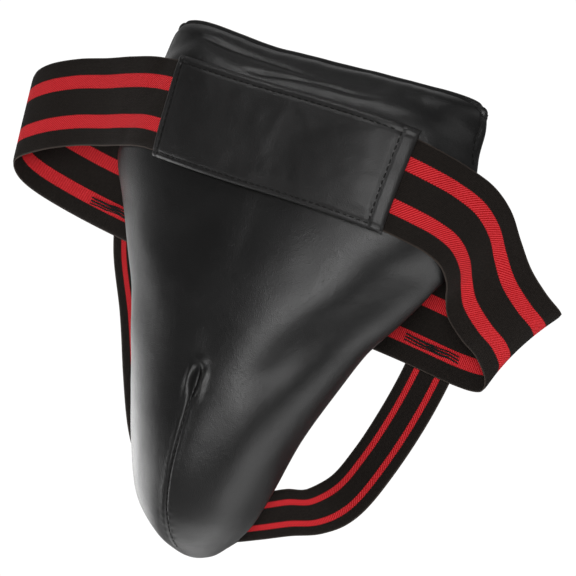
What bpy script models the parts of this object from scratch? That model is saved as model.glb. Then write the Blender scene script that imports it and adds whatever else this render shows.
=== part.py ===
"""Groin protector for boxing and martial arts.

A padded leather guard over a hard cup is worn on a closed elastic waistband.
The waistband's ends are sewn under a leather patch on the guard's front, and two
narrower elastic leg straps run from the back of the waistband to the guard's tip.

Frame: +X to the right seen from the front, the front faces -Y, +Z up.  The origin
lies in the symmetry plane, on the body side of the belly panel (Y = 0), at the
height of the patch's centre (Z = 0).  Dimensions are in millimetres and become
metres when a mesh is made.
"""

import bpy
import bmesh
import numpy as np
from math import cos, pi, radians, sin
from mathutils import Vector
from mathutils.bvhtree import BVHTree

MM = 0.001
GAP = 0.35                    # clearance between neighbouring pieces

# --- driving dimensions, mm -------------------------------------------------------
LEATHER = 1.4                 # cover, patch and tab leather
FOAM = 7.8                    # shock foam between cover and shell
SHELL = 3.0                   # moulded cup wall
LINING = 1.5                  # padded lining inside the cup
WAIST_WIDTH = 53.0            # waistband elastic
WAIST_THICK = 1.8
LEG_WIDTH = 28.0              # leg strap elastic
LEG_THICK = 1.6
PATCH_HALF_TOP = 73.5         # half width of the patch at its top edge
PATCH_HALF_FOOT = 70.0        # and at its lower edge
PATCH_HALF_HEIGHT = 29.5
# The patch sags between its ends; its right end hangs lower and reaches further out.
PATCH_BOW, PATCH_LEAN, PATCH_DROOP, PATCH_REACH = 2.5, 1.2, 5.4, 3.0
THREAD_RADIUS = 0.45
PANEL_TOP = 49.0              # top of the belly panel on the body side
CUP_CEILING = -17.5           # belly foam ends above this and the hollow begins

FOAM_INSET = LEATHER + GAP
SHELL_INSET = FOAM_INSET + FOAM + GAP
LINING_INSET = SHELL_INSET + SHELL + GAP
PAD_INSET = LINING_INSET + LINING
CUP_ROLL = (PAD_INSET + LEATHER + GAP) / 2    # radius of the padded rim
EDGE_ROLL = 3.5                               # radius of the belly panel's thin edge
ROLL_ANGLES = (50, 100, 150)                  # degrees that the cover turns round it
GUARD_ROWS = 34               # rows of facets from the top edge to the tip
FINE = 10                     # finer samples per row, for the directions of the edges
HALVES = 9                    # facets from the ridge to each rim
CUP_FIRST_ROW = 9             # rows where the cup's layers and its padded rim begin
PAD_FIRST_ROW = 12
BEND_GAP = 5                  # samples left open where the waistband bends

# The guard is lofted from its top edge to its tip.  Each row is one section:
# rim x, y, z; ridge y, z; fullness across; fullness in depth.
# The last row lies beyond the tip and only sets the tangent there.
SECTIONS = [
    (94.5, -5, 44, -7, 51.5, 12.0, 2.0),
    (98, -5, 33, -28, 41, 5.0, 1.3),
    (100.5, -5, 17, -41, 27, 5.0, 1.25),
    (105, -5, -7, -45, 0, 4.5, 1.25),
    (110.5, -5, -30, -48, -30, 3.2, 1.4),
    (96.5, -6, -58, -52, -58, 2.5, 1.7),
    (84, -8, -80, -55, -83, 2.3, 1.9),
    (72.5, -10, -99, -57, -108, 2.2, 2.0),
    (63, -12, -123, -58, -135, 2.1, 2.1),
    (51, -13, -156, -58, -168, 2.1, 2.1),
    (42, -10, -189, -54.5, -193, 2.0, 2.0),
    (33, -5, -212, -45, -212, 2.0, 2.0),
    (19.5, 0, -229, -28, -227, 2.0, 2.0),
    (10, 2, -235.5, -12, -234.5, 2.0, 2.0),
    (0, 3, -238, 3, -238, 2.0, 2.0),
    (-10, 2, -235.5, 18, -236, 2.0, 2.0),
]

# Waistband, from under the patch round the right side, behind and back to the left:
# centre x, y, z and the direction across it, towards its upper edge.
BAND = [
    (22, -36, -3, 0, 0, 1),
    (45, -35, -4, 0, 0, 1),
    (71, -33, -7.5, 0.03, 0.10, 1),
    (87, -31, -10.5, 0.05, 0.17, 0.98),
    (98, -24, -13.5, 0.10, 0.24, 0.96),
    (108.5, -17, -18.5, 0.22, 0.24, 0.94),
    (114.5, -6, -27, 0.38, 0.17, 0.91),
    (116.5, 7.5, -38, 0.56, 0.08, 0.83),
    (121.5, 15, -49, 0.66, 0.14, 0.74),
    (131, 22, -59, 0.69, 0.14, 0.71),
    (139, 31, -66, 0.70, 0.14, 0.70),
    (139, 41, -72, 0.50, 0.10, 0.85),
    (128, 46, -77, 0.20, 0.00, 1),
    (107, 43, -77, 0.05, -0.10, 1),
    (70, 36, -72, 0.02, -0.10, 1),
    (0, 30, -65, 0.02, -0.10, 1),
    (-60, 29, -58, 0.02, -0.10, 1),
    (-115, 31, -51, 0.02, -0.10, 1),
    (-155, 33, -44, 0.01, -0.05, 1),
    (-181, 31, -37, 0.00, 0.00, 1),
    (-189, 22, -30, -0.05, 0.05, 1),
    (-186, 12, -23, -0.12, 0.08, 0.98),
    (-170, 4, -15, -0.24, 0.08, 0.96),
    (-148, -2, -8, -0.29, 0.08, 0.96),
    (-124, -12, -4, -0.29, 0.10, 0.95),
    (-105, -23, -1, -0.24, 0.10, 0.97),
    (-86, -33, 1, -0.15, 0.08, 0.99),
    (-70, -33, 1, -0.05, 0.05, 1),
    (-45, -35, 1, 0, 0, 1),
    (-22, -36, 1, 0, 0, 1),
]
RIGHT_BEND = 7                # rows of BAND where it bends on leaving the guard
LEFT_BEND = 24
BAND_SAMPLES = 28             # per row of BAND
# Leg straps: centre and the direction across, towards the outer edge.
LEG_RIGHT = [
    (95, 42.4, -60, 0.98, 0.18, 0.05),
    (94, 43.9, -78, 0.98, 0.18, 0.03),
    (90, 46.4, -103, 0.98, 0.14, -0.06),
    (84, 46, -130, 0.97, 0.08, -0.18),
    (76, 43, -158, 0.94, 0.00, -0.30),
    (67, 38, -181, 0.80, 0.05, -0.58),
    (55, 31, -194, 0.45, 0.40, -0.80),
    (42, 24, -199, 0.25, 0.32, -0.91),
    (30, 17, -205, 0.10, 0.25, -0.96),
    (17, 12.6, -211, 0.00, 0.24, -0.97),
    (4.5, 12.4, -214, 0.00, 0.24, -0.97),
]
LEG_LEFT = [
    (-112, 32.3, -37, -0.99, 0.02, 0.05),
    (-110, 33.8, -53, -0.99, 0.02, 0.03),
    (-103, 36.6, -85, -0.98, 0.00, -0.05),
    (-89, 40, -118, -0.97, 0.00, -0.15),
    (-77, 42, -150, -0.94, 0.00, -0.28),
    (-64, 39, -177, -0.80, 0.05, -0.58),
    (-49, 30, -195, -0.45, 0.25, -0.85),
    (-33, 18, -206, -0.15, 0.25, -0.95),
    (-17, 12.6, -211, 0.00, 0.24, -0.97),
    (-4.5, 12.4, -214, 0.00, 0.24, -0.97),
]
TAB_TIP_Y = 13.2              # the anchor tab's near face at the height of the tip
TAB_TIP_Z = -229.0
TAB_SLOPE = -0.25             # it leans forwards with height
CREAM = (0.62, 0.60, 0.55)


def clear_scene():
    for obj in list(bpy.data.objects):
        bpy.data.objects.remove(obj, do_unlink=True)


def material(name, colour, roughness, metallic=0.0):
    mat = bpy.data.materials.new(name)
    mat.use_nodes = True
    bsdf = mat.node_tree.nodes["Principled BSDF"]
    bsdf.inputs["Base Color"].default_value = (*colour, 1.0)
    bsdf.inputs["Roughness"].default_value = roughness
    bsdf.inputs["Metallic"].default_value = metallic
    return mat


def spline(rows, count, tail=0):
    """Sample a Catmull-Rom spline; the last `tail` rows only shape its end."""
    points = np.array(rows, float)
    last = len(points) - 1
    spans = last - tail
    samples = []
    for step in range(count):
        along = step / (count - 1) * spans
        i = min(int(along), spans - 1)
        f = along - i
        b, c = points[i], points[i + 1]
        a = points[i - 1] if i > 0 else 2 * b - c
        d = points[i + 2] if i + 2 <= last else 2 * c - b
        samples.append(0.5 * (2 * b + (c - a) * f + (2 * a - 5 * b + 4 * c - d) * f ** 2
                              + (3 * b - a - 3 * c + d) * f ** 3))
    return np.array(samples)


def unit(vectors):
    return vectors / np.linalg.norm(vectors, axis=-1, keepdims=True)


def guard_rows(inset, first=0):
    """Sections of the guard, moved inwards by `inset`, from row `first` to the tip."""
    rows = spline(SECTIONS, (GUARD_ROWS - 1) * FINE + 1, tail=1)
    along_rim = unit(np.gradient(rows[:, [0, 2]], axis=0))
    along_rim[-1] = (-1.0, 0.0)
    along_ridge = unit(np.gradient(rows[:, 3:5], axis=0))
    rim_in = np.stack([along_rim[:, 1], -along_rim[:, 0]], 1)
    ridge_in = np.stack([-along_ridge[:, 1], along_ridge[:, 0]], 1)
    ridge_in[-1] = (0.0, 1.0)
    rows[:, [0, 2]] += rim_in * inset
    rows[:, 3:5] += ridge_in * inset
    rows[-1, 0] = 0.0
    rows[-1, 3] = rows[-1, 1]
    picks = np.arange(first * FINE, len(rows), FINE)
    return rows[picks], rim_in[picks], roll_radius(picks / (len(rows) - 1))


def roll_radius(along):
    """Radius of the rolled edge: thin beside the belly panel, padded round the cup."""
    blend = np.clip((along - 0.20) / 0.14, 0.0, 1.0)
    smooth = blend * blend * (3 - 2 * blend)
    return EDGE_ROLL + (CUP_ROLL - EDGE_ROLL) * smooth


def section_point(row, across):
    """Point of one section; across runs from -1 (left rim) over 0 (ridge) to 1."""
    rim_x, rim_y, rim_z, ridge_y, ridge_z, wide, deep = row
    angle = abs(across) * pi / 2
    side = sin(angle) ** (2 / wide)
    depth = max(cos(angle), 0.0) ** (2 / deep)
    return (np.sign(across) * rim_x * side,
            rim_y + (ridge_y - rim_y) * depth,
            rim_z + (ridge_z - rim_z) * depth)


def roll_point(row, inward, radius, angle, side, inset=0.0):
    """Point where the cover turns round the edge, `angle` degrees past the rim."""
    turn = radians(angle)
    reach = (radius - inset) * (1 - cos(turn))
    return (side * (row[0] + inward[0] * reach),
            row[1] + (radius - inset) * sin(turn),
            row[2] + inward[1] * reach)


def skin_grid(inset, turned=False, first=0):
    """Grid of points on the guard's surface, with its turned edges if asked for."""
    grid = []
    sweep = ROLL_ANGLES if turned else []
    for row, inward, radius in zip(*guard_rows(inset, first)):
        line = [roll_point(row, inward, radius, a, -1, inset) for a in reversed(sweep)]
        line += [section_point(row, k / HALVES) for k in range(-HALVES, HALVES + 1)]
        line += [roll_point(row, inward, radius, a, 1, inset) for a in sweep]
        grid.append(line)
    return grid


def new_mesh(name, verts, faces, mat, merge=0.02):
    """Object from millimetre points, with coincident points merged, facing outwards."""
    mesh = bpy.data.meshes.new(name)
    mesh.from_pydata([Vector(v) * MM for v in verts], [], faces)
    bm = bmesh.new()
    bm.from_mesh(mesh)
    bmesh.ops.remove_doubles(bm, verts=bm.verts, dist=merge * MM)
    bmesh.ops.dissolve_degenerate(bm, edges=bm.edges, dist=merge * MM)
    bmesh.ops.triangulate(bm, faces=bm.faces)
    bmesh.ops.recalc_face_normals(bm, faces=bm.faces)
    if bm.calc_volume(signed=True) < 0:
        bmesh.ops.reverse_faces(bm, faces=bm.faces)
    bm.to_mesh(mesh)
    bm.free()
    obj = bpy.data.objects.new(name, mesh)
    obj.data.materials.append(mat)
    mesh.shade_smooth()
    mesh.set_sharp_from_angle(angle=radians(40))
    bpy.context.collection.objects.link(obj)
    return obj


def sheet_between(name, outer, inner, mat, open_end=True):
    """Closed solid between two point grids; without open_end the last rows need no wall."""
    rows, cols = len(outer), len(outer[0])
    verts = [p for line in outer for p in line] + [p for line in inner for p in line]
    back = rows * cols
    faces = []
    for i in range(rows - 1):
        for j in range(cols - 1):
            a, b, c, d = i * cols + j, i * cols + j + 1, (i + 1) * cols + j + 1, (i + 1) * cols + j
            faces.append((a, b, c, d))
            faces.append((back + d, back + c, back + b, back + a))
    for i in range(rows - 1):
        for j in (0, cols - 1):
            a, b = i * cols + j, (i + 1) * cols + j
            faces.append((a, b, back + b, back + a))
    for j in range(cols - 1):
        for i in (0, rows - 1) if open_end else (0,):
            a, b = i * cols + j, i * cols + j + 1
            faces.append((a, b, back + b, back + a))
    return new_mesh(name, verts, faces, mat)


def cup_layer(name, inset, thick, mat):
    """One of the nested layers of the cup, open at the back."""
    outer = skin_grid(inset, first=CUP_FIRST_ROW)
    inner = skin_grid(inset + thick, first=CUP_FIRST_ROW)
    return sheet_between(name, close_tip(outer), close_tip(inner), mat, open_end=False)


def close_tip(grid):
    """The last row's points share the symmetry plane, so both halves meet there."""
    tip = grid[-1]
    for j, point in enumerate(tip):
        tip[j] = (0.0, point[1], point[2])
    return grid


def strap_frames(rows, count):
    """Centres, directions across and normals along a strap."""
    samples = spline(rows, count)
    centre = samples[:, :3]
    along = unit(np.gradient(centre, axis=0))
    across = unit(samples[:, 3:6])
    return centre, across, unit(np.cross(along, across))


def strap_solid(name, frames, picks, width, thick, mat, cuts=2, clear_of=None):
    """Flat strap through the picked frames; clear_of keeps it in front of a surface."""
    front, back = [], []
    for i in picks:
        centre, across, normal = (part[i] for part in frames)
        line = [centre + across * width * (k / cuts - 0.5) for k in range(cuts + 1)]
        if clear_of is not None:
            line = [clear_point(p, clear_of, thick) for p in line]
        front.append([tuple(p + normal * thick / 2) for p in line])
        back.append([tuple(p - normal * thick / 2) for p in line])
    return sheet_between(name, front, back, mat)


def surface_y(tree, x, z):
    """Y where a line along +Y first meets a surface, or None beside it."""
    hit = tree.ray_cast(Vector((x, -200.0, z)) * MM, Vector((0, 1, 0)))[0]
    return None if hit is None else hit.y / MM


def front_of(tree, x, z):
    """Foremost Y of a surface within 5 mm above and below a point, or None beside it."""
    found = [surface_y(tree, x, z + step) for step in (-5, 0, 5)]
    found = [y for y in found if y is not None]
    return min(found) if found else None


def clear_point(point, tree, thick):
    """Move a strap's centre point forwards until the strap clears the surface."""
    front_y = front_of(tree, point[0], point[2])
    if front_y is None or point[1] > 0:
        return point
    return np.array((point[0], min(point[1], front_y - thick / 2 - 3 * GAP), point[2]))


def thread(name, points, mat, closed=False):
    """One run of sewing thread as a thin round tube."""
    curve = bpy.data.curves.new(name, "CURVE")
    curve.dimensions = "3D"
    curve.bevel_depth = THREAD_RADIUS * MM
    curve.bevel_resolution = 0
    curve.render_resolution_u = 0
    curve.use_fill_caps = True
    run = curve.splines.new("POLY")
    run.points.add(len(points) - 1)
    for spot, point in zip(run.points, points):
        spot.co = (*(Vector(point) * MM), 1.0)
    run.use_cyclic_u = closed
    obj = bpy.data.objects.new(name, curve)
    obj.data.materials.append(mat)
    bpy.context.collection.objects.link(obj)
    return obj


def tack(name, centre, along, across, outwards, length, height, turns, mat):
    """Zigzag bar of thread that fastens a strap, standing just off its surface."""
    centre, along, across = (np.array(v, float) for v in (centre, along, across))
    lift = np.array(outwards, float) * (THREAD_RADIUS + GAP)
    points = []
    for k in range(turns + 1):
        sign = 1 if k % 2 else -1
        points.append(centre + lift + along * length * (k / turns - 0.5)
                      + across * sign * height / 2)
    return thread(name, points, mat)


def make_cover(mat):
    outer = skin_grid(0.0, turned=True)
    inner = skin_grid(LEATHER, turned=True)
    return sheet_between("cup_cover", close_tip(outer), close_tip(inner), mat, open_end=False)


def make_belly_foam(mat):
    """Thick pad behind the patch, flat on the body side."""
    rows, _, rolls = guard_rows(FOAM_INSET + 2 * GAP)
    front, back = [], []
    for row, roll in list(zip(rows, rolls))[1:CUP_FIRST_ROW]:
        line = [section_point(row, k / HALVES) for k in range(-HALVES, HALVES + 1)]
        limit = row[0] - 2 * roll - 6
        behind = [(max(-limit, min(limit, x)), -LEATHER - GAP, z) for x, _, z in line]
        for end in (0, 1, -2, -1):
            behind[end] = (behind[end][0], row[1], behind[end][2])
        front.append(line)
        back.append(behind)
    return sheet_between("belly_pad_foam", front, back, mat)


def make_belly_panel(mat):
    """Body-side panel whose lower edge folds forwards over the top of the hollow."""
    low, high = CUP_CEILING - LEATHER, CUP_CEILING
    top, foot, fold, front = 85.5, 97.0, 86.0, 62.0
    profile = [(0.0, PANEL_TOP, top), (0.0, low, foot), (-28.0, low, fold),
               (-38.0, low, front), (-38.0, high, front), (-28.0, high, fold),
               (-LEATHER, high, foot), (-LEATHER, PANEL_TOP, top)]
    verts = [(-half, y, z) for y, z, half in profile] + [(half, y, z) for y, z, half in profile]
    n = len(profile)
    faces = [tuple(range(n)), tuple(range(2 * n - 1, n - 1, -1))]
    faces += [(k, (k + 1) % n, n + (k + 1) % n, n + k) for k in range(n)]
    return new_mesh("belly_panel", verts, faces, mat)


def make_rim_pad(mat):
    """Soft roll round the cup's opening, inside the cover's turned edge."""
    rings = []
    for side in (-1, 1):
        run = []
        for row, inward, radius in zip(*guard_rows(FOAM_INSET, PAD_FIRST_ROW)):
            ring = [roll_point(row, inward, radius, a, side, FOAM_INSET)
                    for a in (0, *ROLL_ANGLES)]
            ring.append(ring[-1])
            for end in (0, -1):
                ring[end] = (ring[end][0], row[1] + GAP, ring[end][2])
            run.append(ring)
        rings += run if side == -1 else list(reversed(run))[1:]
    n = len(rings[0])
    verts = [p for ring in rings for p in ring]
    faces = [tuple(range(n)), tuple(range(len(verts) - 1, len(verts) - n - 1, -1))]
    for i in range(len(rings) - 1):
        for k in range(n):
            a, b = i * n + k, i * n + (k + 1) % n
            faces.append((a, b, b + n, a + n))
    return new_mesh("rim_pad", verts, faces, mat)


def patch_edge(height):
    """Half width of the patch at a height between its lower and top edges."""
    share = (height + PATCH_HALF_HEIGHT) / (2 * PATCH_HALF_HEIGHT)
    return PATCH_HALF_FOOT + (PATCH_HALF_TOP - PATCH_HALF_FOOT) * share


def patch_point(tree, across, height, lift):
    """Point over the patch; across -1 to 1, lift in front of the waistband's ends."""
    droop = max(across, 0.0) ** 2
    x = across * patch_edge(height) + PATCH_REACH * droop
    z = height - PATCH_BOW * (1 - across * across) - PATCH_LEAN * across - PATCH_DROOP * droop
    y = front_of(tree, x, z) - WAIST_THICK - 7 * GAP - lift
    return (x, y, z)


def make_patch(tree, mat):
    across, up = 14, 5
    heights = [PATCH_HALF_HEIGHT * (2 * i / up - 1) for i in range(up + 1)]
    spread = [2 * j / across - 1 for j in range(across + 1)]
    front = [[patch_point(tree, a, h, LEATHER) for a in spread] for h in heights]
    back = [[patch_point(tree, a, h, 0.0) for a in spread] for h in heights]
    return sheet_between("belt_patch", front, back, mat)


def make_patch_stitching(tree, mat):
    """Closed run of thread inside the patch's edge."""
    edge = 0.92
    tall = PATCH_HALF_HEIGHT - 5.5
    lift = LEATHER + THREAD_RADIUS + GAP
    wide = [edge * (2 * k / 14 - 1) for k in range(15)]
    high = [tall * (2 * k / 5 - 1) for k in range(1, 5)]
    points = [patch_point(tree, a, tall, lift) for a in wide]
    points += [patch_point(tree, edge, h, lift) for h in reversed(high)]
    points += [patch_point(tree, a, -tall, lift) for a in reversed(wide)]
    points += [patch_point(tree, -edge, h, lift) for h in high]
    return thread("patch_stitching", points, mat, closed=True)


def make_edge_stitching(mat):
    """Thread along the belly panel's left, top and right edges."""
    rows = guard_rows(-THREAD_RADIUS - GAP)[0]
    sides = [r for r in rows[1:] if r[2] > 24]
    near = 0.80
    points = [section_point(r, -near) for r in reversed(sides)]
    points += [section_point(rows[1], near * (k / 8 - 1)) for k in range(1, 16)]
    points += [section_point(r, near) for r in sides]
    return thread("panel_edge_stitching", points, mat)


def make_centre_seam(mat):
    """Thread of the dart that runs up the cup from its tip."""
    rows = guard_rows(-THREAD_RADIUS - GAP)[0]
    return thread("centre_seam_thread", [(0, r[3], r[4]) for r in rows if -232 < r[4] < -128], mat)


def make_rim_stitching(mat):
    """Thread that closes the cover's turned edge against the lining."""
    points = []
    for side in (-1, 1):
        run = []
        for row, inward, radius in zip(*guard_rows(0.0, PAD_FIRST_ROW)):
            run.append(roll_point(row, inward, radius, ROLL_ANGLES[1], side,
                                  -THREAD_RADIUS - GAP))
        points += run if side == -1 else list(reversed(run))[1:]
    return thread("rim_stitching", points, mat)


def make_anchor_tab(mat):
    """Leather tab across the cup's lower back that the leg straps are sewn to."""
    outline = [(-10, -233), (10, -233), (24, -222), (33, -200), (30, -197), (-30, -197),
               (-33, -200), (-24, -222)]
    near = [TAB_TIP_Y + TAB_SLOPE * (z - TAB_TIP_Z) for _, z in outline]
    n = len(outline)
    verts = [(x, y, z) for (x, z), y in zip(outline, near)]
    verts += [(x, y + LEATHER, z) for (x, z), y in zip(outline, near)]
    faces = [tuple(range(n)), tuple(range(2 * n - 1, n - 1, -1))]
    faces += [(k, (k + 1) % n, n + (k + 1) % n, n + k) for k in range(n)]
    return new_mesh("strap_anchor_tab", verts, faces, mat)


def make_waistband(tree, mat):
    """The closed band as two ends that stay on the guard and the loop that moves."""
    count = (len(BAND) - 1) * BAND_SAMPLES + 1
    frames = strap_frames(BAND, count)
    right, left = RIGHT_BEND * BAND_SAMPLES, LEFT_BEND * BAND_SAMPLES
    step = BAND_SAMPLES // 4
    strap_solid("waistband_end_right", frames, range(0, right + 1, step),
                WAIST_WIDTH, WAIST_THICK, mat, cuts=4, clear_of=tree)
    strap_solid("waistband_end_left", frames, range(left, count, step),
                WAIST_WIDTH, WAIST_THICK, mat, cuts=4, clear_of=tree)
    inside = [right + BEND_GAP, *range(right + step, left, step), left - BEND_GAP]
    loop = strap_solid("waistband_loop", frames, inside, WAIST_WIDTH, WAIST_THICK, mat)
    return loop, (frames[0][right] + frames[0][left]) / 2


def build():
    clear_scene()
    leather = material("cover_leather", (0.017, 0.016, 0.017), 0.42)
    patch = material("patch_leather", (0.020, 0.018, 0.019), 0.48)
    foam = material("foam", (0.32, 0.33, 0.35), 0.95)
    plastic = material("shell_plastic", CREAM, 0.45)
    cloth = material("lining_cloth", (0.03, 0.03, 0.032), 0.9)
    elastic = material("elastic", (0.02, 0.017, 0.016), 0.85)
    yarn = material("thread", (0.012, 0.012, 0.013), 0.7)

    cover = make_cover(leather)
    cup_layer("shock_foam", FOAM_INSET, FOAM, foam)
    cup_layer("cup_shell", SHELL_INSET, SHELL, plastic)
    cup_layer("cup_lining", LINING_INSET, LINING, cloth)
    make_rim_pad(foam)
    make_belly_foam(foam)
    make_belly_panel(cloth)

    bm = bmesh.new()
    bm.from_mesh(cover.data)
    tree = BVHTree.FromBMesh(bm)
    bm.free()
    make_patch(tree, patch)
    loop, middle = make_waistband(tree, elastic)
    for name, rows in (("leg_strap_right", LEG_RIGHT), ("leg_strap_left", LEG_LEFT)):
        count = 4 * len(rows) - 3
        strap_solid(name, strap_frames(rows, count), range(count), LEG_WIDTH, LEG_THICK, elastic)
    make_anchor_tab(leather)

    make_centre_seam(yarn)
    make_patch_stitching(tree, yarn)
    make_edge_stitching(yarn)
    make_rim_stitching(yarn)
    tack("anchor_tack", (0, 13.4, -214), (1, 0, 0), (0, -0.24, 0.97), (0, 1, 0), 28, 16, 8, yarn)
    # The leg straps are sewn on with long runs of thread over the band's lower stripe.
    right_tack = tack("leg_tack_right", (91, 39.5, -86.9), (0, -0.1, 1), (0.966, 0.209, -0.149),
                      (0, -1, 0), 5, 34, 4, yarn)
    left_tack = tack("leg_tack_left", (-120, 31.1, -62.4), (0, -0.1, 1), (0.99, -0.046, -0.136),
                     (0, -1, 0), 5, 38, 4, yarn)

    pivot = bpy.data.objects.new("waistband_pivot", None)
    pivot.location = Vector(middle) * MM
    bpy.context.collection.objects.link(pivot)
    for piece in (loop, right_tack, left_tack):
        piece.parent = pivot
        piece.matrix_parent_inverse.translation = -pivot.location


build()
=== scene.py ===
"""Groin protector: leather guard over a padded cup, striped elastic waistband and leg straps.

Lengths are in millimetres up to mesh_object(), which turns them into metres.
Frame: +X to the right seen from the front, the front faces -Y, +Z up.
"""

from math import cos, pi, radians, sin

import bmesh
import bpy
import numpy as np
from mathutils import Matrix, Vector, noise
from mathutils.bvhtree import BVHTree


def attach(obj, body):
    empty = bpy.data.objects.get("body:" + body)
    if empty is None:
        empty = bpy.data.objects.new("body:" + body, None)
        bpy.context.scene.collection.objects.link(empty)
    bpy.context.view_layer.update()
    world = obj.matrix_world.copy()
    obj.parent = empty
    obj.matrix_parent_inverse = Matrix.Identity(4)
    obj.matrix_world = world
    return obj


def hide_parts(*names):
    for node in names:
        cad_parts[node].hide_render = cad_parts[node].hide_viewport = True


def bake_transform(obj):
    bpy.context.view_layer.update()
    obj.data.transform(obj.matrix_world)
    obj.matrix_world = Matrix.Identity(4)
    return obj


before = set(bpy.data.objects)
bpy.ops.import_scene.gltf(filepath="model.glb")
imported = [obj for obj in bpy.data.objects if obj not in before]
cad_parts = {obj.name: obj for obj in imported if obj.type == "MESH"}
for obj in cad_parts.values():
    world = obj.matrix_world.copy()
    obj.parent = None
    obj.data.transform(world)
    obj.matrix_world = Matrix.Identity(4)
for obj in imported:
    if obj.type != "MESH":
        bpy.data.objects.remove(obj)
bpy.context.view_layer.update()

MM = 0.001
GAP = 0.35
LEATHER = 1.4
FOAM_INSET = LEATHER + GAP
FOAM = 7.8
SHELL_INSET = FOAM_INSET + FOAM + GAP
SHELL = 3.0
LINING_INSET = SHELL_INSET + SHELL + GAP
LINING = 1.5
PAD_INSET = LINING_INSET + LINING
CUP_ROLL = (PAD_INSET + LEATHER + GAP) / 2
EDGE_ROLL = 3.5
WAIST_WIDTH, WAIST_THICK = 53.0, 1.8
LEG_WIDTH, LEG_THICK = 28.0, 1.6
PATCH_HALF_TOP, PATCH_HALF_FOOT, PATCH_HALF_HEIGHT = 73.5, 70.0, 29.5
PATCH_BOW, PATCH_LEAN, PATCH_DROOP, PATCH_REACH = 2.5, 1.2, 5.4, 3.0
CUP_CEILING = -17.5
PANEL_TOP = 49.0
PATCH_MEAN_HALF = 71.0        # half the patch's mean width
SEAM_TOP, SEAM_FOOT, SEAM_RIGHT, SEAM_LEFT = 4.2, 2.9, 7.5, 3.4    # stitching in from its edges
HEM_INSET = 5.3               # the hem's stitching in from the strip's edges
COVER_SKIN = 1.1              # thickness of the cover's leather where it is drawn taut
PANEL_CLOTH = 1.3
CUP_START = 0.2727            # share of the guard's length where the cup's layers begin
BEHIND_GUARD = 125            # a strap further out than this passes clear of the guard
TWILL = 1.5                   # pitch of the twill on the elastic's red stripes
RIB, WEFT = 0.45, 0.35        # half the pitch of the elastic's ribs and of its weft
RELAX_FRAMES = 20
STITCH_SHARE = 0.78           # share of each stitch's pitch that lies on the surface

# Sections of the guard from its top edge to its tip: rim x, y, z; ridge y, z;
# fullness across; fullness in depth.  The last row only sets the tangent at the tip.
SECTIONS = [
    (94.5, -5, 44, -7, 51.5, 12.0, 2.0),
    (98, -5, 33, -28, 41, 5.0, 1.3),
    (100.5, -5, 17, -41, 27, 5.0, 1.25),
    (105, -5, -7, -45, 0, 4.5, 1.25),
    (110.5, -5, -30, -48, -30, 3.2, 1.4),
    (96.5, -6, -58, -52, -58, 2.5, 1.7),
    (84, -8, -80, -55, -83, 2.3, 1.9),
    (72.5, -10, -99, -57, -108, 2.2, 2.0),
    (63, -12, -123, -58, -135, 2.1, 2.1),
    (51, -13, -156, -58, -168, 2.1, 2.1),
    (42, -10, -189, -54.5, -193, 2.0, 2.0),
    (33, -5, -212, -45, -212, 2.0, 2.0),
    (19.5, 0, -229, -28, -227, 2.0, 2.0),
    (10, 2, -235.5, -12, -234.5, 2.0, 2.0),
    (0, 3, -238, 3, -238, 2.0, 2.0),
    (-10, 2, -235.5, 18, -236, 2.0, 2.0),
]
# Waistband: centre x, y, z and the direction across it, towards its upper edge.
BAND = [
    (22, -36, -3, 0, 0, 1),
    (45, -35, -4, 0, 0, 1),
    (71, -33, -7.5, 0.03, 0.10, 1),
    (87, -31, -10.5, 0.05, 0.17, 0.98),
    (98, -24, -13.5, 0.10, 0.24, 0.96),
    (108.5, -17, -18.5, 0.22, 0.24, 0.94),
    (114.5, -6, -27, 0.38, 0.17, 0.91),
    (116.5, 7.5, -38, 0.56, 0.08, 0.83),
    (121.5, 15, -49, 0.66, 0.14, 0.74),
    (131, 22, -59, 0.69, 0.14, 0.71),
    (139, 31, -66, 0.70, 0.14, 0.70),
    (139, 41, -72, 0.50, 0.10, 0.85),
    (128, 46, -77, 0.20, 0.00, 1),
    (107, 43, -77, 0.05, -0.10, 1),
    (70, 36, -72, 0.02, -0.10, 1),
    (0, 30, -65, 0.02, -0.10, 1),
    (-60, 29, -58, 0.02, -0.10, 1),
    (-115, 31, -51, 0.02, -0.10, 1),
    (-155, 33, -44, 0.01, -0.05, 1),
    (-181, 31, -37, 0.00, 0.00, 1),
    (-189, 22, -30, -0.05, 0.05, 1),
    (-186, 12, -23, -0.12, 0.08, 0.98),
    (-170, 4, -15, -0.24, 0.08, 0.96),
    (-148, -2, -8, -0.29, 0.08, 0.96),
    (-124, -12, -4, -0.29, 0.10, 0.95),
    (-105, -23, -1, -0.24, 0.10, 0.97),
    (-86, -33, 1, -0.15, 0.08, 0.99),
    (-70, -33, 1, -0.05, 0.05, 1),
    (-45, -35, 1, 0, 0, 1),
    (-22, -36, 1, 0, 0, 1),
]
LEG_RIGHT = [
    (95, 42.4, -60, 0.98, 0.18, 0.05),
    (94, 43.9, -78, 0.98, 0.18, 0.03),
    (90, 46.4, -103, 0.98, 0.14, -0.06),
    (84, 46, -130, 0.97, 0.08, -0.18),
    (76, 43, -158, 0.94, 0.00, -0.30),
    (67, 38, -181, 0.80, 0.05, -0.58),
    (55, 31, -194, 0.45, 0.40, -0.80),
    (42, 24, -199, 0.25, 0.32, -0.91),
    (30, 17, -205, 0.10, 0.25, -0.96),
    (17, 12.6, -211, 0.00, 0.24, -0.97),
    (4.5, 12.4, -214, 0.00, 0.24, -0.97),
]
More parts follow.
